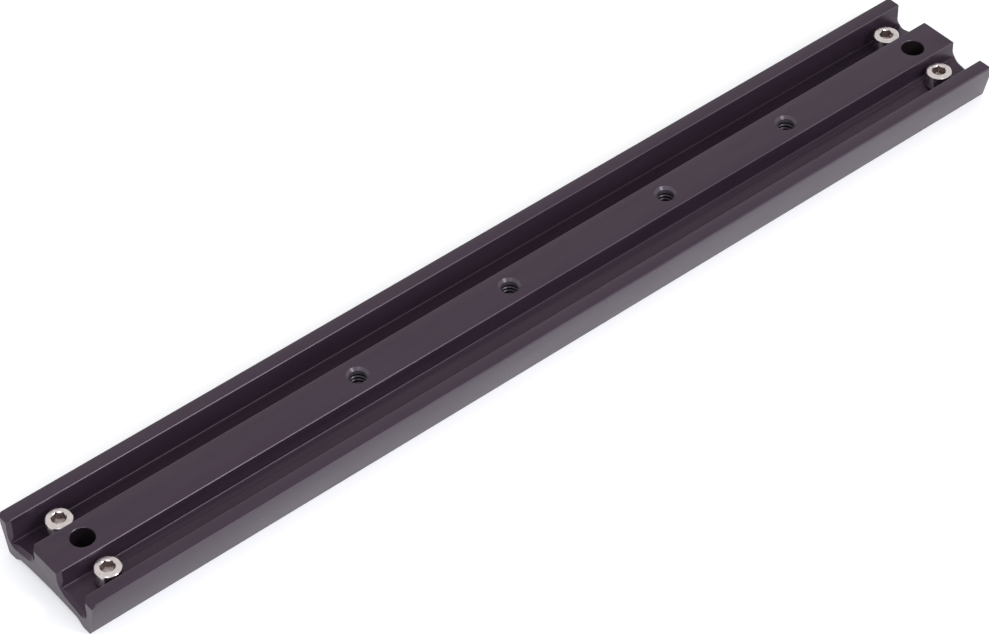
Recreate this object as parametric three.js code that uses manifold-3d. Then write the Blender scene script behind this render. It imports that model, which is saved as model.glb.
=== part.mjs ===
// A dovetail mounting rail for optical and camera equipment, with its four cap screws.
//
// Millimetres. X runs along the rail, Y across it and Z up. The origin is under the middle of the
// rail, on the plane of its two feet. The front end is at -X and the left side is at +Y.
import * as THREE from "three";
import { mergeVertices } from "three/addons/utils/BufferGeometryUtils.js";
import Module from "manifold-3d";

const manifold = await Module();
manifold.setup();

// ---- Driving dimensions -------------------------------------------------------------------

// The rail, over all.
const RAIL_LENGTH = 336.5;
const RAIL_HEIGHT = 13.4;
const FLANK_ANGLE = THREE.MathUtils.degToRad(13.5);

// Its section from the middle outwards: a rib, a groove, and a side wall.
const RIB_WIDTH = 12.9;
const GROOVE_WIDTH = 11.2;
const SIDE_WIDTH = 4.7;
const GROOVE_DEPTH_AT_RIB = 6.2;
const GROOVE_DEPTH_AT_SIDE = 8.6;

// The hollow underside, between two feet.
const FOOT_WIDTH = 3.3;
const HOLLOW_SIDE_RUN = 2.4;
const HOLLOW_SIDE_RISE = 1.7;
const HOLLOW_MIDDLE_RISE = 2.4;

// Chamfers: all round each end, on the outer top edges, and on the edges of rib and grooves.
// The end chamfers are cut with a round-nosed tool, so they fade out in the grooves' corners.
const END_CHAMFER = 1.2;
const END_TOOL_RADIUS = 2.8;
const OUTER_BREAK = 0.45;
const INNER_BREAK = 0.3;

// Holes down the middle of the rib. The tapped ones are measured from the middle of the rail.
const TAPPED_PLACES = [-62, -6.5, 53.6, 102.2];
const TAPPED_BORE = 5.1;
const TAPPED_MOUTH = 6.7;
const CLEAR_BORE = 7.1;
const CLEAR_MOUTH = 7.5;
const CLEAR_FROM_END = 12.5;

// The cap screws, and how they sit in the grooves.
const HEAD_DIAMETER = 7.92;
const HEAD_HEIGHT = 4.83;
const HEAD_CHAMFER = 0.35;
const SHANK_DIAMETER = 4.83;
const SHANK_TIP_CHAMFER = 0.5;
const SOCKET_ACROSS_FLATS = 3.97;
const SOCKET_DEPTH = 2.5;
const SCREW_FROM_END = 12.4;
const HEAD_TO_RIB = 1.09;
const SEAT_BELOW_TOP = 6.65;
const SEAT_CLEARANCE = 0.3;
const SHANK_CLEARANCE = 0.15;
const SEAT_GAP = 0.3;
const TIP_ABOVE_FEET = 0.45;
const SCREWS = [
  { name: "cap_screw_front_left", end: -1, side: 1, socketTurn: -8.6 },
  { name: "cap_screw_front_right", end: -1, side: -1, socketTurn: -8.6 },
  { name: "cap_screw_rear_left", end: 1, side: 1, socketTurn: -8.6 },
  { name: "cap_screw_rear_right", end: 1, side: -1, socketTurn: 21.4 },
];

// How finely round things are cut, and how far a cutting tool reaches past the metal.
const ROUND_SIDES = 40;
const HEX_SIDES = 6;
const HOLLOW_CURVE_STEPS = 12;
const TOOL_CURVE_STEPS = 8;
const TOOL_REACH = 2;

// Points closer together than this are one point.
const SAME_POINT = 1e-4;

// ---- Sizes that follow from those above ---------------------------------------------------

const ribHalf = RIB_WIDTH / 2;
const grooveOuter = ribHalf + GROOVE_WIDTH;
const topHalf = grooveOuter + SIDE_WIDTH;
const flankLean = Math.tan(FLANK_ANGLE);
const footOuter = topHalf - flankLean * (RAIL_HEIGHT - OUTER_BREAK);
const footInner = footOuter - FOOT_WIDTH;
const hollowCorner = footInner - HOLLOW_SIDE_RUN;
const seatHeight = RAIL_HEIGHT - SEAT_BELOW_TOP;
const headRadius = HEAD_DIAMETER / 2;
const screwFromMiddle = ribHalf + HEAD_TO_RIB + headRadius;

// ---- Solids: closed geometry in, closed geometry out --------------------------------------

function toSolid(geometry) {
  const bare = geometry.clone();
  bare.deleteAttribute("normal");
  bare.deleteAttribute("uv");
  const merged = mergeVertices(bare, SAME_POINT);
  const mesh = new manifold.Mesh({
    numProp: 3,
    vertProperties: merged.attributes.position.array,
    triVerts: new Uint32Array(merged.index.array),
  });
  return new manifold.Manifold(mesh);
}

function toGeometry(solid) {
  const mesh = solid.getMesh();
  const geometry = new THREE.BufferGeometry();
  geometry.setAttribute("position", new THREE.BufferAttribute(mesh.vertProperties, 3));
  geometry.setIndex(new THREE.BufferAttribute(mesh.triVerts, 1));
  const faceted = geometry.toNonIndexed();
  faceted.computeVertexNormals();
  return faceted;
}

// A solid of revolution about Z, from [radius, height] pairs that start and end on the axis.
function turned(pairs, sides = ROUND_SIDES) {
  const points = pairs.map(([radius, height]) => new THREE.Vector2(radius, height));
  return new THREE.LatheGeometry(points, sides).rotateX(Math.PI / 2);
}

// ---- The rail ------------------------------------------------------------------------------

// The groove's two bottom corners and the wall tops beside them, from the rib outwards.
const grooveCorners = [
  [ribHalf, RAIL_HEIGHT],
  [ribHalf, RAIL_HEIGHT - GROOVE_DEPTH_AT_RIB],
  [grooveOuter, RAIL_HEIGHT - GROOVE_DEPTH_AT_SIDE],
  [grooveOuter, RAIL_HEIGHT],
];

// The right half of the finished top: the rib, the groove, the side wall and the flank.
function upperHalf() {
  const [, ribCorner, sideCorner] = grooveCorners;
  return [
    [ribHalf - INNER_BREAK, RAIL_HEIGHT],
    [ribHalf, RAIL_HEIGHT - INNER_BREAK],
    ribCorner,
    sideCorner,
    [grooveOuter, RAIL_HEIGHT - INNER_BREAK],
    [grooveOuter + INNER_BREAK, RAIL_HEIGHT],
    [topHalf - OUTER_BREAK, RAIL_HEIGHT],
    [topHalf, RAIL_HEIGHT - OUTER_BREAK],
    [footOuter, 0],
  ];
}

// A corner rounded to a radius: the points of the arc, from the one edge to the other.
function rounded([before, corner, after], radius) {
  const at = new THREE.Vector2(...corner);
  const back = new THREE.Vector2(...before).sub(at).normalize();
  const on = new THREE.Vector2(...after).sub(at).normalize();
  const halfAngle = Math.acos(back.dot(on)) / 2;
  const centre = back.clone().add(on).setLength(radius / Math.sin(halfAngle)).add(at);
  const start = back.clone().multiplyScalar(radius / Math.tan(halfAngle)).add(at);
  const sweep = Math.sign(on.cross(back)) * (Math.PI - 2 * halfAngle);
  return Array.from({ length: TOOL_CURVE_STEPS + 1 }, (_, step) => {
    const point = start.clone().rotateAround(centre, (sweep * step) / TOOL_CURVE_STEPS);
    return [point.x, point.y];
  });
}

// The right half of the path that the end-chamfering tool follows: the top's outline with its
// outer edges sharp and the grooves' corners rounded to the tool. It passes below the feet.
function toolHalf() {
  const [ribTop, ribCorner, sideCorner, sideTop] = grooveCorners;
  const sharpHalf = topHalf + flankLean * OUTER_BREAK;
  return [
    ribTop,
    ...rounded([ribTop, ribCorner, sideCorner], END_TOOL_RADIUS),
    ...rounded([ribCorner, sideCorner, sideTop], END_TOOL_RADIUS),
    sideTop,
    [sharpHalf, RAIL_HEIGHT],
    [footOuter - flankLean * TOOL_REACH, -TOOL_REACH],
  ];
}

// The right half of the hollow underside, from the foot to the middle.
function hollowHalf() {
  const half = [[footInner, 0]];
  for (let step = HOLLOW_CURVE_STEPS; step >= 0; step--) {
    const y = (hollowCorner * step) / HOLLOW_CURVE_STEPS;
    const drop = (HOLLOW_MIDDLE_RISE - HOLLOW_SIDE_RISE) * (y / hollowCorner) ** 2;
    half.push([y, HOLLOW_MIDDLE_RISE - drop]);
  }
  return half;
}

// A right half and its mirror image, as one counter-clockwise outline.
function bothHalves(half) {
  const right = half.map(([y, z]) => new THREE.Vector2(y, z));
  const left = half.filter(([y]) => y > 0).map(([y, z]) => new THREE.Vector2(-y, z));
  return new THREE.Shape([...left, ...right.reverse()]);
}

// An outline pushed along X, centred on the origin, with a chamfer all round both its ends.
function bar(shape, chamfer) {
  const geometry = new THREE.ExtrudeGeometry(shape, {
    depth: RAIL_LENGTH - 2 * chamfer,
    bevelEnabled: chamfer > 0,
    bevelThickness: chamfer,
    bevelSize: chamfer,
    bevelOffset: -chamfer,
    bevelSegments: 1,
  });
  geometry.translate(0, 0, -(RAIL_LENGTH - 2 * chamfer) / 2);
  const alongX = new THREE.Matrix4().makeBasis(
    new THREE.Vector3(0, 1, 0),
    new THREE.Vector3(0, 0, 1),
    new THREE.Vector3(1, 0, 0),
  );
  return toSolid(geometry.applyMatrix4(alongX));
}

// The tool for a hole right through the rib, with a chamfered mouth at the top.
function holeTool(bore, mouth) {
  const flare = (mouth - bore) / 2;
  return turned([
    [0, -TOOL_REACH],
    [bore / 2, -TOOL_REACH],
    [bore / 2, RAIL_HEIGHT - flare],
    [mouth / 2 + TOOL_REACH, RAIL_HEIGHT + TOOL_REACH],
    [0, RAIL_HEIGHT + TOOL_REACH],
  ]);
}

// The tool for a screw: a hole for the shank, and above it a flat seat for the head.
function seatTool() {
  const shank = SHANK_DIAMETER / 2 + SHANK_CLEARANCE;
  const seat = headRadius + SEAT_CLEARANCE;
  return turned([
    [0, -TOOL_REACH],
    [shank, -TOOL_REACH],
    [shank, seatHeight],
    [seat, seatHeight],
    [seat, RAIL_HEIGHT + TOOL_REACH],
    [0, RAIL_HEIGHT + TOOL_REACH],
  ]);
}

function screwPlace({ end, side }) {
  return [end * (RAIL_LENGTH / 2 - SCREW_FROM_END), side * screwFromMiddle];
}

function dovetailRail() {
  const whole = bar(bothHalves([...upperHalf(), ...hollowHalf()]), 0);
  let rail = whole.intersect(bar(bothHalves(toolHalf()), END_CHAMFER));
  for (const x of TAPPED_PLACES) {
    rail = rail.subtract(toSolid(holeTool(TAPPED_BORE, TAPPED_MOUTH).translate(x, 0, 0)));
  }
  for (const end of [-1, 1]) {
    const x = end * (RAIL_LENGTH / 2 - CLEAR_FROM_END);
    rail = rail.subtract(toSolid(holeTool(CLEAR_BORE, CLEAR_MOUTH).translate(x, 0, 0)));
  }
  for (const screw of SCREWS) {
    const [x, y] = screwPlace(screw);
    rail = rail.subtract(toSolid(seatTool().translate(x, y, 0)));
  }
  return toGeometry(rail);
}

// ---- The cap screws ------------------------------------------------------------------------

// A socket-head cap screw on its own axis, with the underside of its head at height zero.
function capScrew(socketTurn) {
  const shank = SHANK_DIAMETER / 2;
  const tip = -(seatHeight + SEAT_GAP - TIP_ABOVE_FEET);
  const body = turned([
    [0, tip],
    [shank - SHANK_TIP_CHAMFER, tip],
    [shank, tip + SHANK_TIP_CHAMFER],
    [shank, 0],
    [headRadius, 0],
    [headRadius, HEAD_HEIGHT - HEAD_CHAMFER],
    [headRadius - HEAD_CHAMFER, HEAD_HEIGHT],
    [0, HEAD_HEIGHT],
  ]);
  const corner = SOCKET_ACROSS_FLATS / 2 / Math.cos(Math.PI / HEX_SIDES);
  const socket = turned(
    [
      [0, HEAD_HEIGHT - SOCKET_DEPTH],
      [corner, HEAD_HEIGHT - SOCKET_DEPTH],
      [corner, HEAD_HEIGHT + TOOL_REACH],
      [0, HEAD_HEIGHT + TOOL_REACH],
    ],
    HEX_SIDES,
  ).rotateZ(THREE.MathUtils.degToRad(socketTurn) + Math.PI / HEX_SIDES);
  return toGeometry(toSolid(body).subtract(toSolid(socket)));
}

// ---- Assembly ------------------------------------------------------------------------------

const blackAnodised = new THREE.MeshStandardMaterial({
  color: 0x3f3c43,
  roughness: 0.5,
  metalness: 0.6,
});
const stainless = new THREE.MeshStandardMaterial({
  color: 0xd9d8d6,
  roughness: 0.25,
  metalness: 1,
});

function part(name, geometry, material) {
  const mesh = new THREE.Mesh(geometry, material);
  mesh.name = name;
  return mesh;
}

const assembly = new THREE.Group();
assembly.add(part("dovetail_rail", dovetailRail(), blackAnodised));
for (const screw of SCREWS) {
  const [x, y] = screwPlace(screw);
  const mesh = part(screw.name, capScrew(screw.socketTurn), stainless);
  mesh.position.set(x, y, seatHeight + SEAT_GAP);
  assembly.add(mesh);
}

export default assembly;
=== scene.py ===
# %% [markdown]
# # A dovetail mounting rail and its four cap screws
#
# The real object is a black anodised aluminium extrusion, about a third of a metre long. It has a
# flat rib down the middle of its top, a groove on each side of the rib, slanting dovetail flanks
# and a hollow underside between two narrow feet. Holes are drilled and tapped down the rib, and a
# bright socket-head screw stands in each groove near each end.
#
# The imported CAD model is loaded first. Everything below is placed from it, in metres.

# %% Load the frame
import math

import bmesh
import bpy
from mathutils import Matrix, Vector


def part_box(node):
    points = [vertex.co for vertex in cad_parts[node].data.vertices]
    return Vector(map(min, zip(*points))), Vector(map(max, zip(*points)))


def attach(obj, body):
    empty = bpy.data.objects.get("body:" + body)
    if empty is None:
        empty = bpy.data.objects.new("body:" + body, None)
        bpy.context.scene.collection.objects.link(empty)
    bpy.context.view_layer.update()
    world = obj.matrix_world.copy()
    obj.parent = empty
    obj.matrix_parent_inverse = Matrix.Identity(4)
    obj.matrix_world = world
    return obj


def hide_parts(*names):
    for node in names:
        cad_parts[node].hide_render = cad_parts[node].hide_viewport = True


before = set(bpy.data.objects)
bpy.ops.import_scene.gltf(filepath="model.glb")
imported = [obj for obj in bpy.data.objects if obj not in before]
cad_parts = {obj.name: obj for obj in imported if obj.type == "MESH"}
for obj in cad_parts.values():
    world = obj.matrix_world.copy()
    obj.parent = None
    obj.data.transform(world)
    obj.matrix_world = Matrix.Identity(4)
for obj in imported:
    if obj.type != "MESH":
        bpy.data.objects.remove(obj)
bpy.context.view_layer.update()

MM = 0.001
rail_low, rail_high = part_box("dovetail_rail")
LENGTH = rail_high[0] - rail_low[0]
WIDTH = rail_high[1] - rail_low[1]
HEIGHT = rail_high[2] - rail_low[2]
print("rail", [round(size / MM, 2) for size in (LENGTH, WIDTH, HEIGHT)], "mm")

# %% [markdown]
# ## The camera
#
# The camera looks along the rail from its front right, from about 44 degrees up, through a long
# lens, so the rail hardly narrows towards its far end. It is set by angles round a point on the
# rail's top, as if walking round a table and then stepping back.

# %% Aim the camera
CAMERA_AZIMUTH = math.radians(-38.56)
CAMERA_ELEVATION = math.radians(44.35)
CAMERA_ROLL = math.radians(-1.55)
CAMERA_DISTANCE = 0.9823
CAMERA_AIM = Vector((-18.0 * MM, -7.2 * MM, HEIGHT))
LENS = 125.35

back = Vector((
    math.sin(CAMERA_AZIMUTH) * math.cos(CAMERA_ELEVATION),
    -math.cos(CAMERA_AZIMUTH) * math.cos(CAMERA_ELEVATION),
    math.sin(CAMERA_ELEVATION),
))
level_right = Vector((math.cos(CAMERA_AZIMUTH), math.sin(CAMERA_AZIMUTH), 0))
level_up = back.cross(level_right)
right = math.cos(CAMERA_ROLL) * level_right + math.sin(CAMERA_ROLL) * level_up
up = math.cos(CAMERA_ROLL) * level_up - math.sin(CAMERA_ROLL) * level_right

camera_data = bpy.data.cameras.new("camera")
camera_data.lens = LENS
camera = bpy.data.objects.new("camera", camera_data)
bpy.context.collection.objects.link(camera)
turn = Matrix((right, up, back)).transposed().to_4x4()
camera.matrix_world = Matrix.Translation(CAMERA_AIM + CAMERA_DISTANCE * back) @ turn
bpy.context.scene.camera = camera
print("camera at", [round(value, 3) for value in camera.matrix_world.translation])

# %% [markdown]
# ## Small helpers for working by hand
#
# Modelling goes through edit mode, as it would with a mouse. An operator acts on whatever is
# selected, so each step starts from nothing selected and picks its faces, edges or corners by
# where they are.

# %% Helpers: select, edit, move, cut, copy and count
def only(piece):
    if bpy.context.object and bpy.context.object.mode != "OBJECT":
        bpy.ops.object.mode_set(mode="OBJECT")
    bpy.ops.object.select_all(action="DESELECT")
    piece.select_set(True)
    bpy.context.view_layer.objects.active = piece


def open_mesh(piece, mode="FACE"):
    only(piece)
    bpy.ops.object.mode_set(mode="EDIT")
    bpy.ops.mesh.select_mode(type=mode)
    bpy.ops.mesh.select_all(action="DESELECT")


def close_mesh():
    bpy.ops.object.mode_set(mode="OBJECT")


def pick(kind, test):
    """Selects the corners, edges or faces ("verts", "edges", "faces") that pass the test."""
    bpy.ops.mesh.select_all(action="DESELECT")
    mesh = bmesh.from_edit_mesh(bpy.context.object.data)
    chosen = [item for item in getattr(mesh, kind) if test(item)]
    for item in chosen:
        item.select_set(True)
    mesh.select_flush_mode()
    bmesh.update_edit_mesh(bpy.context.object.data)
    return len(chosen)


def shift(offset):
    bpy.ops.transform.translate(value=offset)


def finish_transform(piece):
    only(piece)
    bpy.ops.object.transform_apply(location=True, rotation=True, scale=True)


def boolean(piece, tool, operation):
    """Cuts or keeps with another piece, which is thrown away afterwards."""
    only(piece)
    modifier = piece.modifiers.new("cut", "BOOLEAN")
    modifier.operation = operation
    modifier.solver = "EXACT"
    modifier.object = tool
    bpy.ops.object.modifier_apply(modifier=modifier.name)
    bpy.data.objects.remove(tool)


def copy_at(piece, name, place, turn=0.0):
    """A copy with its own mesh, turned and moved inside that mesh, so it stays at the origin."""
    only(piece)
    bpy.ops.object.duplicate(linked=False)
    copy = bpy.context.object
    copy.name = name
    copy.rotation_euler.z = turn
    copy.location = (place[0], place[1], 0)
    finish_transform(copy)
    return copy


def triangles(piece):
    return sum(len(face.vertices) - 2 for face in piece.data.polygons)


# %% [markdown]
# ## The rail's section
#
# An extrusion is one outline pushed through a die, so it is modelled the same way: a flat face
# shaped at one end, then extruded along X. The face starts as a rectangle. Straight cuts mark
# where the rib, the grooves, the side walls and the hollow begin, the grooves' upper cells are
# deleted, and single rows of corners are moved to slope the floors, arch the underside and lean
# the flanks.

# %% The section's sizes
TINY = 1e-6
RIB_HALF = 6.45 * MM
GROOVE_WIDTH = 11.2 * MM
DEPTH_AT_RIB = 6.2 * MM
DEPTH_AT_SIDE = 8.6 * MM
FOOT_WIDTH = 3.3 * MM
FLANK_LEAN = math.tan(math.radians(13.5))
OUTER_BREAK = 0.45 * MM
HOLLOW_RUN = 2.4 * MM
HOLLOW_SIDE_RISE = 1.7 * MM
HOLLOW_RISE = 2.4 * MM
HOLLOW_STEPS = 6
ROUNDING = 0.006 * MM

groove_outer = RIB_HALF + GROOVE_WIDTH
groove_floor = HEIGHT - DEPTH_AT_RIB
sharp_half = WIDTH / 2 + FLANK_LEAN * OUTER_BREAK - ROUNDING
foot_outer = WIDTH / 2 - FLANK_LEAN * (HEIGHT - OUTER_BREAK)
foot_inner = foot_outer - FOOT_WIDTH
hollow_corner = foot_inner - HOLLOW_RUN
arch = [hollow_corner * step / HOLLOW_STEPS for step in range(HOLLOW_STEPS + 1)]
print("feet", round(foot_inner / MM, 2), "to", round(foot_outer / MM, 2), "mm from the middle")


# %% How far each corner moves
def floor_drop(y):
    along = (abs(y) - RIB_HALF) / GROOVE_WIDTH
    return (DEPTH_AT_SIDE - DEPTH_AT_RIB) * along


def arch_rise(y):
    return HOLLOW_RISE - (HOLLOW_RISE - HOLLOW_SIDE_RISE) * (y / hollow_corner) ** 2


def in_groove(point):
    return RIB_HALF - TINY < abs(point.y) < groove_outer + TINY


def cut_lines(hollow):
    """The y of every upright cut, from left to right, with or without those of the hollow."""
    cuts = [RIB_HALF, groove_outer] + (arch + [foot_inner] if hollow else [])
    return sorted({side * cut for cut in cuts for side in (-1, 1)})


print("upright cuts", len(cut_lines(hollow=True)))


# %% Cut the grooves out of the end face
def open_grooves(lines):
    for y in lines:
        bpy.ops.mesh.select_all(action="SELECT")
        bpy.ops.mesh.bisect(plane_co=(0, y, 0), plane_no=(0, 1, 0))
    pick("faces", lambda face: in_groove(face.calc_center_median()))
    bpy.ops.mesh.bisect(plane_co=(0, 0, groove_floor), plane_no=(0, 0, 1))
    pick("faces", lambda face: in_groove(face.calc_center_median())
         and face.calc_center_median().z > groove_floor)
    bpy.ops.mesh.delete(type="FACE")


# %% Slope the floors, arch the underside and lean the flanks
def move_corners(lines, hollow):
    bpy.ops.mesh.select_mode(type="VERT")
    for y in lines:
        def on_line(vert, z):
            return abs(vert.co.y - y) < TINY and abs(vert.co.z - z) < TINY
        if RIB_HALF + TINY < abs(y) < groove_outer + TINY:
            pick("verts", lambda vert: on_line(vert, groove_floor))
            shift((0, 0, -floor_drop(y)))
        if hollow and abs(y) < hollow_corner + TINY:
            pick("verts", lambda vert: on_line(vert, 0))
            shift((0, 0, arch_rise(y)))
    for side in (-1, 1):
        pick("verts", lambda vert: abs(vert.co.y - side * sharp_half) < TINY and vert.co.z < TINY)
        shift((0, side * (foot_outer - sharp_half), 0))


# %% Push the face along X
SAME_PLANE = math.radians(0.05)


def extruded_bar(name, hollow):
    bpy.ops.mesh.primitive_plane_add(
        size=1, location=(-LENGTH / 2, 0, HEIGHT / 2), rotation=(0, -math.pi / 2, 0))
    bar = bpy.context.object
    bar.name = name
    bar.scale = (HEIGHT, 2 * sharp_half, 1)
    finish_transform(bar)
    open_mesh(bar)
    lines = cut_lines(hollow)
    open_grooves(lines)
    move_corners(lines, hollow)
    bpy.ops.mesh.select_mode(type="FACE")
    bpy.ops.mesh.select_all(action="SELECT")
    bpy.ops.mesh.extrude_region_move(TRANSFORM_OT_translate={"value": (LENGTH, 0, 0)})
    bpy.ops.mesh.select_all(action="SELECT")
    bpy.ops.mesh.remove_doubles(threshold=TINY)
    bpy.ops.mesh.normals_make_consistent(inside=False)
    bpy.ops.mesh.dissolve_limited(angle_limit=SAME_PLANE)
    close_mesh()
    return bar


rail = extruded_bar("rail_body", hollow=True)
print("bar has", len(rail.data.polygons), "faces")

# %% [markdown]
# ## Broken edges
#
# No edge of a real extrusion is perfectly sharp. The die leaves a small radius on the long edges,
# and that radius is what catches the light as a thin bright line. A bevel on the long edges gives
# it, with its own size for the outer edges, the groove edges, the feet and the groove bottoms.

# %% Bevel the long edges
INNER_BREAK = 0.3 * MM
INNER_FILLET = 0.35 * MM
FOOT_BREAK = 0.35 * MM
BREAK_STEPS = 3
groove_bottoms = [(RIB_HALF, groove_floor), (groove_outer, HEIGHT - DEPTH_AT_SIDE)]


def long_edge(edge, y, z):
    a, b = (vert.co for vert in edge.verts)
    return (abs(a.x - b.x) > LENGTH / 2 and abs(abs(a.y) - y) < TINY and abs(a.z - z) < TINY
            and abs(a.y - b.y) < TINY)


def bevel_long_edges(piece, places, size, segments):
    open_mesh(piece, "EDGE")
    found = pick("edges", lambda edge: any(long_edge(edge, y, z) for y, z in places))
    bpy.ops.mesh.bevel(offset=size, segments=segments, affect="EDGES", clamp_overlap=False)
    close_mesh()
    print("bevelled", found, "long edges by", round(size / MM, 2), "mm")


bevel_long_edges(rail, [(sharp_half, HEIGHT)], OUTER_BREAK, BREAK_STEPS)
bevel_long_edges(rail, [(RIB_HALF, HEIGHT), (groove_outer, HEIGHT)], INNER_BREAK, BREAK_STEPS)
bevel_long_edges(rail, [(foot_inner, 0), (foot_outer, 0)], FOOT_BREAK, BREAK_STEPS)
bevel_long_edges(rail, groove_bottoms, INNER_FILLET, BREAK_STEPS)

# %% [markdown]
# ## Chamfered ends
#
# The saw leaves the ends sharp, so a hand tool has run round them. It is round-nosed: it cuts a
# full chamfer along the walls and floor of each groove, but it can't reach into their sharp inner
# corners, where the chamfer dies out in a curve. Making a second, plain bar with filleted groove
# corners, bevelling its ends and keeping only what both bars share gives that curve exactly. The
# second bar is fattened by a hair, so that no two faces lie in one plane when the bars are cut.

# %% Round the tool's path, chamfer it, and keep what both bars share
END_CHAMFER = 1.2 * MM
TOOL_RADIUS = 2.8 * MM
TOOL_STEPS = 10
HAIR = 0.01 * MM

envelope = extruded_bar("end_tool", hollow=False)
bevel_long_edges(envelope, groove_bottoms, TOOL_RADIUS, TOOL_STEPS)
open_mesh(envelope)
bpy.ops.mesh.select_all(action="SELECT")
bpy.ops.transform.shrink_fatten(value=HAIR, use_even_offset=True)


def end_edge(edge):
    a, b = (vert.co for vert in edge.verts)
    at_end = abs(a.x - b.x) < TINY and abs(a.x) > LENGTH / 2
    return at_end and max(a.z, b.z) > TINY


bpy.ops.mesh.select_mode(type="EDGE")
print("end edges", pick("edges", end_edge))
bpy.ops.mesh.bevel(offset=END_CHAMFER + 2 * HAIR, segments=1, affect="EDGES", clamp_overlap=False)
close_mesh()
boolean(rail, envelope, "INTERSECT")
print("rail has", triangles(rail), "triangles")

# %% [markdown]
# ## Holes
#
# A hole is cut with a tool of its own shape. The tool for a clear hole is a cylinder whose top is
# widened into a cone, for the countersink. The tool for a tapped hole is the tap itself: a stem
# with a ridge for each thread, extruded ring by ring. Each tool is modelled once, on the Z axis,
# and a copy of it is moved to every hole.

# %% A turned solid, extruded ring by ring
ROUND = 48


def turned(name, rings):
    """A solid of revolution from (radius, height) rings, stacked by extruding a round face."""
    radius, height = rings[0]
    bpy.ops.mesh.primitive_circle_add(
        vertices=ROUND, radius=radius, fill_type="NGON", location=(0, 0, height))
    piece = bpy.context.object
    piece.name = name
    finish_transform(piece)
    open_mesh(piece)
    bpy.ops.mesh.select_all(action="SELECT")
    for wider, higher in rings[1:]:
        bpy.ops.mesh.extrude_region_move(
            TRANSFORM_OT_translate={"value": (0, 0, higher - height)})
        ratio = wider / radius
        bpy.ops.transform.resize(value=(ratio, ratio, 1), center_override=(0, 0, higher))
        radius, height = wider, higher
    bpy.ops.mesh.select_all(action="SELECT")
    bpy.ops.mesh.normals_make_consistent(inside=False)
    close_mesh()
    return piece


# %% One cut for each place, and the rings of a thread
FLANK_MIDDLE = 0.21
FLANK_END = 0.42
CREST_END = 0.5
ROOT_START = 0.92


def cut_each(tool, places):
    """Cuts the rail with a copy of the tool at each place, then throws the tool away."""
    for place in places:
        boolean(rail, copy_at(tool, tool.name + "_copy", place), "DIFFERENCE")
    print(tool.name, "cut", len(places), "times, rail has", triangles(rail), "triangles")
    bpy.data.objects.remove(tool)


def thread_rings(major, minor, pitch, low, high):
    """Rings for a vee thread: out along its lower flank, up its crest, in along its upper."""
    rings = []
    z = low
    while z + pitch < high:
        rings += [
            (minor, z), ((major + minor) / 2, z + pitch * FLANK_MIDDLE),
            (major, z + pitch * FLANK_END), (major, z + pitch * CREST_END),
            (minor, z + pitch * ROOT_START),
        ]
        z += pitch
    return rings


# %% Tap and drill the rib
REACH = 1 * MM
TAP_PLACES = [place * MM for place in (-62, -6.5, 53.6, 102.2)]
TAP_MAJOR = 3.15 * MM
TAP_MINOR = 2.55 * MM
TAP_PITCH = 1.27 * MM
TAP_MOUTH = 3.35 * MM
CLEAR_RADIUS = 3.55 * MM
CLEAR_MOUTH = 3.75 * MM
CLEAR_FROM_END = 12.5 * MM
CLEAR_PLACES = [end * (LENGTH / 2 - CLEAR_FROM_END) for end in (-1, 1)]

cone_start = HEIGHT - (TAP_MOUTH - TAP_MINOR)
tap_rings = [(TAP_MINOR, -REACH)]
tap_rings += thread_rings(TAP_MAJOR, TAP_MINOR, TAP_PITCH, HOLLOW_RISE / 2, cone_start)
tap_rings += [(TAP_MINOR, cone_start), (TAP_MOUTH + REACH, HEIGHT + REACH)]
cut_each(turned("tap", tap_rings), [(x, 0) for x in TAP_PLACES])
drill_rings = [
    (CLEAR_RADIUS, -REACH), (CLEAR_RADIUS, HEIGHT - (CLEAR_MOUTH - CLEAR_RADIUS)),
    (CLEAR_MOUTH, HEIGHT), (CLEAR_MOUTH + REACH, HEIGHT + REACH),
]
cut_each(turned("drill", drill_rings), [(x, 0) for x in CLEAR_PLACES])

# %% [markdown]
# ## Screw seats
#
# Each cap screw passes through the web under its groove, and its head stands on a flat seat that
# an end mill has cut into the sloping floor. The places come from the CAD screws.

# %% Mill the seats and drill for the shanks
SEAT_BELOW_TOP = 6.65 * MM
SEAT_EXTRA = 0.3 * MM
SHANK_RADIUS = 2.415 * MM
SHANK_EXTRA = 0.15 * MM
SMOOTH_BELOW = math.radians(28)

seat_height = HEIGHT - SEAT_BELOW_TOP
screw_nodes = [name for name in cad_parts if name.startswith("cap_screw")]


def node_middle(name):
    low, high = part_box(name)
    return ((low[0] + high[0]) / 2, (low[1] + high[1]) / 2)


screw_low, screw_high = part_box(screw_nodes[0])
head_radius = (screw_high[0] - screw_low[0]) / 2
seat = head_radius + SEAT_EXTRA
bore = SHANK_RADIUS + SHANK_EXTRA
mill_rings = [(bore, -REACH), (bore, seat_height - TINY), (seat, seat_height), (seat, HEIGHT + REACH)]
cut_each(turned("end_mill", mill_rings), [node_middle(name) for name in screw_nodes])
only(rail)
bpy.ops.object.shade_smooth_by_angle(angle=SMOOTH_BELOW)

# %% [markdown]
# ## The cap screws
#
# A socket-head cap screw is turned from bar: a round head with a chamfered rim, a shank with a
# rolled thread, and a hexagonal socket punched into the head. The body is stacked from rings, and
# the socket is a six-sided cylinder taken out of the head, with a cone at its mouth and the mark
# of the drill's point at its bottom. One screw is modelled on the Z axis, then copied to the four
# places, and each copy is turned to where its screw was left when it was tightened.

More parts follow.
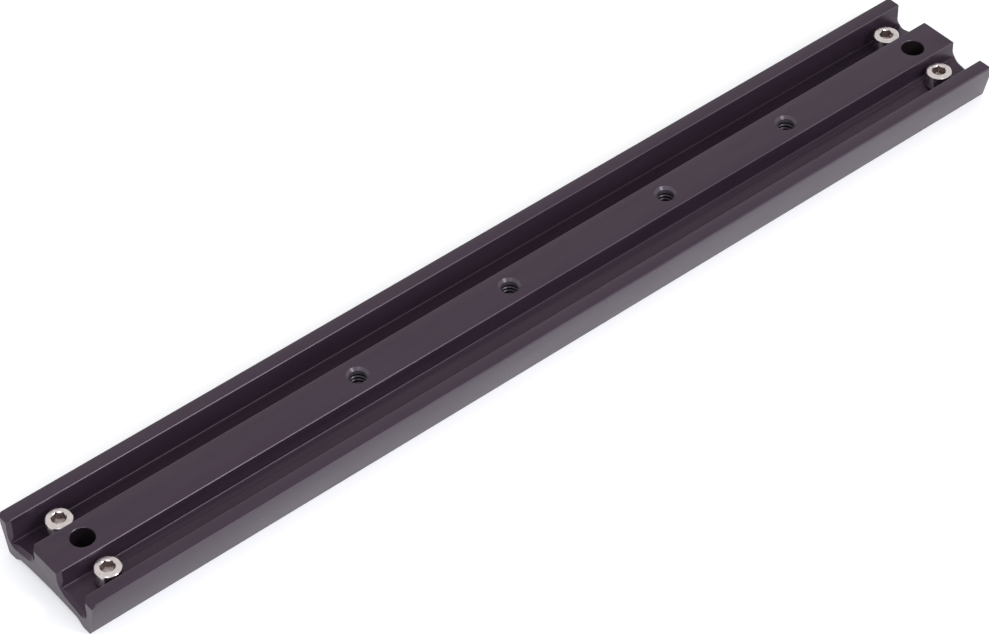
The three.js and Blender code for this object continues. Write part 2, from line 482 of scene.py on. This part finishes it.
# %% The screw's sizes
HEAD_HEIGHT = 4.83 * MM
RIM = 0.35 * MM
EASE = 0.08 * MM
SEATED = 0.02 * MM
THREAD_MINOR = 2.0 * MM
THREAD_PITCH = 0.8 * MM
SOCKET_FLATS = 3.97 * MM
SOCKET_DEPTH = 2.8 * MM
SOCKET_SIDES = 6
MOUTH_INSET = 0.5 * MM
MOUTH_DEPTH = 0.45 * MM
MOUTH_OUTSET = 0.05 * MM
MOUTH_ABOVE = 0.10 * MM
POINT_RADIUS = 0.02 * MM
POINT_DEPTH = 0.9 * MM
OVERLAP = 0.01 * MM
TIP_CHAMFER = 0.5 * MM
TIP_RISE = 0.1 * MM
THREAD_MARGIN = 0.3 * MM
NECK_HEIGHT = 0.05 * MM
NECK_FLARE = 0.1 * MM
SOCKET_TURNS = {
    "cap_screw_front_left": -8.6,
    "cap_screw_front_right": -8.6,
    "cap_screw_rear_left": -8.6,
    "cap_screw_rear_right": 21.4,
}
under = seat_height + SEATED
top = under + HEAD_HEIGHT
tip = screw_low[2]
corner = SOCKET_FLATS / 2 / math.cos(math.pi / SOCKET_SIDES)
print("screw from", round(tip / MM, 2), "to", round(top / MM, 2), "mm above the feet")

# %% Turn one screw
screw_rings = [(SHANK_RADIUS - TIP_CHAMFER, tip), (THREAD_MINOR, tip + TIP_RISE)]
screw_rings += thread_rings(
    SHANK_RADIUS, THREAD_MINOR, THREAD_PITCH, tip + THREAD_MARGIN, under - THREAD_MARGIN)[1:]
screw_rings += [
    (THREAD_MINOR, under - NECK_HEIGHT), (THREAD_MINOR + NECK_FLARE, under),
    (head_radius - EASE, under + TINY), (head_radius, under + EASE),
    (head_radius, top - RIM - EASE), (head_radius - EASE / 2, top - RIM + EASE / 2),
    (head_radius - RIM, top - EASE / 2), (head_radius - RIM - EASE, top),
]
model_screw = turned("model_screw", screw_rings)
print("turned screw", triangles(model_screw), "triangles")

# %% Punch its socket
bpy.ops.mesh.primitive_cylinder_add(
    vertices=SOCKET_SIDES, radius=corner, depth=2 * SOCKET_DEPTH, location=(0, 0, top))
boolean(model_screw, bpy.context.object, "DIFFERENCE")
mouth = [(corner - MOUTH_INSET, top - MOUTH_DEPTH), (corner + MOUTH_OUTSET, top + MOUTH_ABOVE)]
boolean(model_screw, turned("mouth", mouth), "DIFFERENCE")
drill_point = [
    (POINT_RADIUS, top - SOCKET_DEPTH - POINT_DEPTH),
    (SOCKET_FLATS / 2, top - SOCKET_DEPTH + OVERLAP),
]
boolean(model_screw, turned("drill_point", drill_point), "DIFFERENCE")
only(model_screw)
bpy.ops.object.shade_smooth_by_angle(angle=SMOOTH_BELOW)
print("with its socket", triangles(model_screw), "triangles")

# %% Copy it to the four places
screws = {}
for name, degrees in SOCKET_TURNS.items():
    place = node_middle(name)
    screws[name] = copy_at(model_screw, name + "_turned", place, math.radians(degrees))
bpy.data.objects.remove(model_screw)
print("screws", {name: triangles(screw) for name, screw in screws.items()})

# %% [markdown]
# ## Black anodising
#
# Anodising grows a clear, hard film on the aluminium and dyes it. What is seen is mostly the
# film's own shine over a nearly black body, so it is a dark dielectric, not a metal: it is
# brighter at a glancing angle, which is why the flanks look lighter than the top. Its shine is
# tinted a little by the dye, towards purple. The film follows the extrusion's fine die lines and
# is a little mottled in colour. Along the edges, round the mouths of the tapped holes and on the
# threads' crests a lighter colour is painted on as a highlight, and down in the bores and between
# the threads' crests a darker, rougher finish is painted on as shade.

# %% Node helpers
NOISE_LOW = 0.3
NOISE_HIGH = 0.7


def new_material(name):
    material = bpy.data.materials.new(name)
    material.use_nodes = True
    nodes, links = material.node_tree.nodes, material.node_tree.links
    return material, nodes, links, nodes["Principled BSDF"]


def add(nodes, kind, **settings):
    node = nodes.new(kind)
    for key, value in settings.items():
        if key in node.inputs:
            node.inputs[key].default_value = value
        else:
            setattr(node, key, value)
    return node


def stretched_noise(nodes, links, stretch, scale, detail=3.0):
    """Noise on Object coordinates, in metres, drawn out along X by the stretch."""
    coordinates = add(nodes, "ShaderNodeTexCoord")
    mapping = add(nodes, "ShaderNodeMapping")
    mapping.inputs["Scale"].default_value = (1 / stretch, 1, 1)
    noise = add(nodes, "ShaderNodeTexNoise", Scale=scale, Detail=detail, Roughness=0.6)
    links.new(coordinates.outputs["Object"], mapping.inputs["Vector"])
    links.new(mapping.outputs["Vector"], noise.inputs["Vector"])
    return noise.outputs["Fac"]


def ramp(nodes, links, source, low_colour, high_colour):
    """Turns noise into a blend from one colour to another over the noise's usual range."""
    node = add(nodes, "ShaderNodeValToRGB")
    low, high = node.color_ramp.elements
    low.position = NOISE_LOW
    low.color = (*low_colour, 1)
    high.position = NOISE_HIGH
    high.color = (*high_colour, 1)
    links.new(source, node.inputs["Fac"])
    return node.outputs["Color"]


# %% The anodised finish
DYE_TINT = (1.0, 0.80, 0.97, 1)
BLACK_DARK = (0.026, 0.0155, 0.027)
BLACK_LIGHT = (0.032, 0.0205, 0.032)
# A lighter colour painted on as a highlight along the edges, round the tapped holes' mouths and on
# the threads' crests.
PAINTED_HIGHLIGHT_DARK = (0.050, 0.042, 0.053)
PAINTED_HIGHLIGHT_LIGHT = (0.080, 0.068, 0.083)
# A darker colour painted on as shade, down in the bores and between the threads' crests; its film
# index is lowered too, so its shine is dimmer.
PAINTED_SHADE_DARK = (0.006, 0.004, 0.005)
PAINTED_SHADE_LIGHT = (0.012, 0.008, 0.010)
FILM_INDEX = 1.45
PAINTED_SHADE_INDEX = 1.15


def anodised(name, dark, light, smooth, rough, index):
    material, nodes, links, shader = new_material(name)
    mottle = stretched_noise(nodes, links, stretch=6, scale=180)
    links.new(ramp(nodes, links, mottle, dark, light), shader.inputs["Base Color"])
    patches = stretched_noise(nodes, links, stretch=3, scale=90)
    grey = ramp(nodes, links, patches, (smooth,) * 3, (rough,) * 3)
    links.new(grey, shader.inputs["Roughness"])
    shader.inputs["IOR"].default_value = index
    shader.inputs["Specular Tint"].default_value = DYE_TINT
    lines = add(nodes, "ShaderNodeBump", Strength=0.12, Distance=0.00002)
    die_lines = stretched_noise(nodes, links, stretch=60, scale=4500, detail=2.0)
    links.new(die_lines, lines.inputs["Height"])
    grain = add(nodes, "ShaderNodeBump", Strength=0.15, Distance=0.00001)
    film_grain = stretched_noise(nodes, links, stretch=1, scale=9000, detail=2.0)
    links.new(film_grain, grain.inputs["Height"])
    links.new(lines.outputs["Normal"], grain.inputs["Normal"])
    links.new(grain.outputs["Normal"], shader.inputs["Normal"])
    return material


black = anodised(
    "black_anodising", BLACK_DARK, BLACK_LIGHT, smooth=0.26, rough=0.33, index=FILM_INDEX)
painted_highlight = anodised(
    "painted_highlight_anodising", PAINTED_HIGHLIGHT_DARK, PAINTED_HIGHLIGHT_LIGHT, smooth=0.24, rough=0.30, index=FILM_INDEX)
painted_shade = anodised(
    "painted_shade_anodising", PAINTED_SHADE_DARK, PAINTED_SHADE_LIGHT, smooth=0.7, rough=0.9, index=PAINTED_SHADE_INDEX)
rail.data.materials.clear()
for finish in (black, painted_highlight, painted_shade):
    rail.data.materials.append(finish)
print("finishes", [finish.name for finish in rail.data.materials])

# %% Find the broken edges, the tapped holes' mouths and threads, and the bores
STEEPEST_EDGE = 0.25
FLATTEST_EDGE = 0.97
FACING_ALONG = 0.3
WIDEST_EDGE = 400 * MM * MM
CREST_UNDERSIDE = -0.2
NOT_LEVEL = 0.9


def broken_edge(face):
    middle, normal = face.calc_center_median(), face.normal
    sloped = STEEPEST_EDGE < abs(normal.z) < FLATTEST_EDGE and abs(normal.x) < FACING_ALONG
    near_top = middle.z > HEIGHT - INNER_BREAK - TINY
    return sloped and near_top and face.calc_area() < WIDEST_EDGE


def from_axis(face, places):
    middle = face.calc_center_median()
    return min(math.hypot(middle.x - x, middle.y) for x in places)


def inside_hole(face, places, radius):
    deep = HOLLOW_SIDE_RISE < face.calc_center_median().z < cone_start
    return deep and from_axis(face, places) < radius


def thread_top(face):
    crest = (TAP_MAJOR + TAP_MINOR) / 2
    return inside_hole(face, TAP_PLACES, crest) and face.normal.z > CREST_UNDERSIDE


def tap_mouth(face):
    near = from_axis(face, TAP_PLACES) < TAP_MOUTH
    return near and face.calc_center_median().z > cone_start and face.normal.z < NOT_LEVEL


def bore_wall(face):
    clear = inside_hole(face, CLEAR_PLACES, CLEAR_MOUTH)
    return clear or (inside_hole(face, TAP_PLACES, TAP_MOUTH) and not thread_top(face))


# %% Give them the painted highlight, and the bores the painted shade
PAINTED_HIGHLIGHT_SLOT = 1
PAINTED_SHADE_SLOT = 2


def give(finish, test):
    print(rail.data.materials[finish].name, "on", pick("faces", test), "faces")
    rail.active_material_index = finish
    bpy.ops.object.material_slot_assign()


open_mesh(rail)
# Paint the highlight on the broken edges, the tapped holes' mouths and the threads' crests.
give(PAINTED_HIGHLIGHT_SLOT, lambda face: broken_edge(face) or thread_top(face) or tap_mouth(face))
# Paint the shade down in the bores and between the threads' crests.
give(PAINTED_SHADE_SLOT, bore_wall)
close_mesh()

# %% [markdown]
# ## Bright stainless steel
#
# The screws are polished stainless steel. The head was turned, so its top has faint rings round
# the screw's own axis, and handling has left small scratches. The rings are a wave pattern on
# Object coordinates, moved to each screw's place by a Mapping node.

# %% The steel finish, centred on its screw
TURNED_DARK = (0.64, 0.58, 0.57)
TURNED_LIGHT = (0.78, 0.72, 0.70)
# A darker, pinkish colour for the socket's walls: painted shade and painted reflection.
SOCKET_PAINTED_SHADE_DARK = (0.26, 0.21, 0.20)
SOCKET_PAINTED_SHADE_LIGHT = (0.36, 0.30, 0.28)
WEAR = 0.13


def stainless(name, place, dark, light, smooth):
    material, nodes, links, shader = new_material(name)
    shader.inputs["Metallic"].default_value = 1.0
    scratches = stretched_noise(nodes, links, stretch=1, scale=900)
    links.new(ramp(nodes, links, scratches, dark, light), shader.inputs["Base Color"])
    wear = stretched_noise(nodes, links, stretch=1, scale=1800)
    grey = ramp(nodes, links, wear, (smooth,) * 3, (smooth + WEAR,) * 3)
    links.new(grey, shader.inputs["Roughness"])
    coordinates = add(nodes, "ShaderNodeTexCoord")
    centre = add(nodes, "ShaderNodeMapping")
    centre.inputs["Location"].default_value = (-place[0], -place[1], 0)
    rings = add(nodes, "ShaderNodeTexWave", wave_type="RINGS", rings_direction="Z", Scale=3500.0)
    bump = add(nodes, "ShaderNodeBump", Strength=0.08, Distance=0.00001)
    links.new(coordinates.outputs["Object"], centre.inputs["Vector"])
    links.new(centre.outputs["Vector"], rings.inputs["Vector"])
    links.new(rings.outputs["Fac"], bump.inputs["Height"])
    links.new(bump.outputs["Normal"], shader.inputs["Normal"])
    return material


# %% Turned steel on each screw, and painted shade on its socket's walls
UPRIGHT = 0.3
SOCKET_SHADE_SLOT = 1


def socket_wall(face, place):
    middle = face.calc_center_median()
    inside = math.hypot(middle.x - place[0], middle.y - place[1]) < SOCKET_FLATS / 2 + TINY
    return inside and middle.z < top - TINY and abs(face.normal.z) < UPRIGHT


# Each screw gets turned steel, and its socket's walls a darker colour painted on as shade and
# reflection.
for name, screw in screws.items():
    place = node_middle(name)
    turned_steel = stainless("turned_" + name, place, TURNED_DARK, TURNED_LIGHT, smooth=0.14)
    painted_socket_shade = stainless("socket_with_painted_shade_" + name, place, SOCKET_PAINTED_SHADE_DARK, SOCKET_PAINTED_SHADE_LIGHT, smooth=0.3)
    screw.data.materials.clear()
    screw.data.materials.append(turned_steel)
    screw.data.materials.append(painted_socket_shade)
    open_mesh(screw)
    walls = pick("faces", lambda face: socket_wall(face, place))
    screw.active_material_index = SOCKET_SHADE_SLOT
    bpy.ops.object.material_slot_assign()
    close_mesh()
    print(name, "socket walls", walls)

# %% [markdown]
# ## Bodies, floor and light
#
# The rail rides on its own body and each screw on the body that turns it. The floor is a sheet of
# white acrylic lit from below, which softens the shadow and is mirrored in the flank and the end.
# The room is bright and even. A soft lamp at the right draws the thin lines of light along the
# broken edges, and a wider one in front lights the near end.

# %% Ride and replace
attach(rail, "rail")
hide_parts("dovetail_rail")
for name, screw in screws.items():
    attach(screw, name.replace("cap_screw", "screw"))
    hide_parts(name)
print("riding", 1 + len(screws), "pieces")

# %% The floor
FLOOR_SIZE = 6.0
FLOOR_GAP = 0.05 * MM
FLOOR_GREY = (0.8, 0.8, 0.8, 1)
FLOOR_ROUGHNESS = 0.9
FLOOR_LIGHT = (0.98, 0.98, 1.0, 1)
FLOOR_STRENGTH = 0.33

bpy.ops.object.select_all(action="DESELECT")
bpy.ops.mesh.primitive_plane_add(size=FLOOR_SIZE, location=(0, 0, -FLOOR_GAP))
floor = bpy.context.object
floor.name = "floor"
acrylic, _, _, acrylic_shader = new_material("lit_acrylic")
acrylic_shader.inputs["Base Color"].default_value = FLOOR_GREY
acrylic_shader.inputs["Roughness"].default_value = FLOOR_ROUGHNESS
acrylic_shader.inputs["Emission Color"].default_value = FLOOR_LIGHT
acrylic_shader.inputs["Emission Strength"].default_value = FLOOR_STRENGTH
floor.data.materials.append(acrylic)
print("floor", FLOOR_SIZE, "m square")


# %% The lamps and the room
ROOM_WHITE = (1.0, 1.0, 1.0, 1)
ROOM_STRENGTH = 0.84


def lamp(name, place, size, power, colour):
    """A round soft lamp that points at the middle of the rail."""
    data = bpy.data.lights.new(name, "AREA")
    data.color = colour
    data.shape = "DISK"
    data.size = size
    data.energy = power
    piece = bpy.data.objects.new(name, data)
    bpy.context.collection.objects.link(piece)
    toward = Vector((0, 0, 0)) - Vector(place)
    aimed = toward.to_track_quat("-Z", "Y").to_matrix().to_4x4()
    piece.matrix_world = Matrix.Translation(place) @ aimed
    print(name, "lamp of", power, "W")


lamp("right", place=(0.10, -0.42, 0.36), size=0.20, power=1.3, colour=(0.93, 0.95, 1.0))
lamp("front", place=(-0.48, -0.36, 0.34), size=0.40, power=1.1, colour=(0.80, 0.86, 1.0))
world = bpy.data.worlds.new("room")
bpy.context.scene.world = world
world.use_nodes = True
room = world.node_tree.nodes["Background"]
room.inputs["Color"].default_value = ROOM_WHITE
room.inputs["Strength"].default_value = ROOM_STRENGTH
bpy.context.scene.view_settings.view_transform = "Standard"
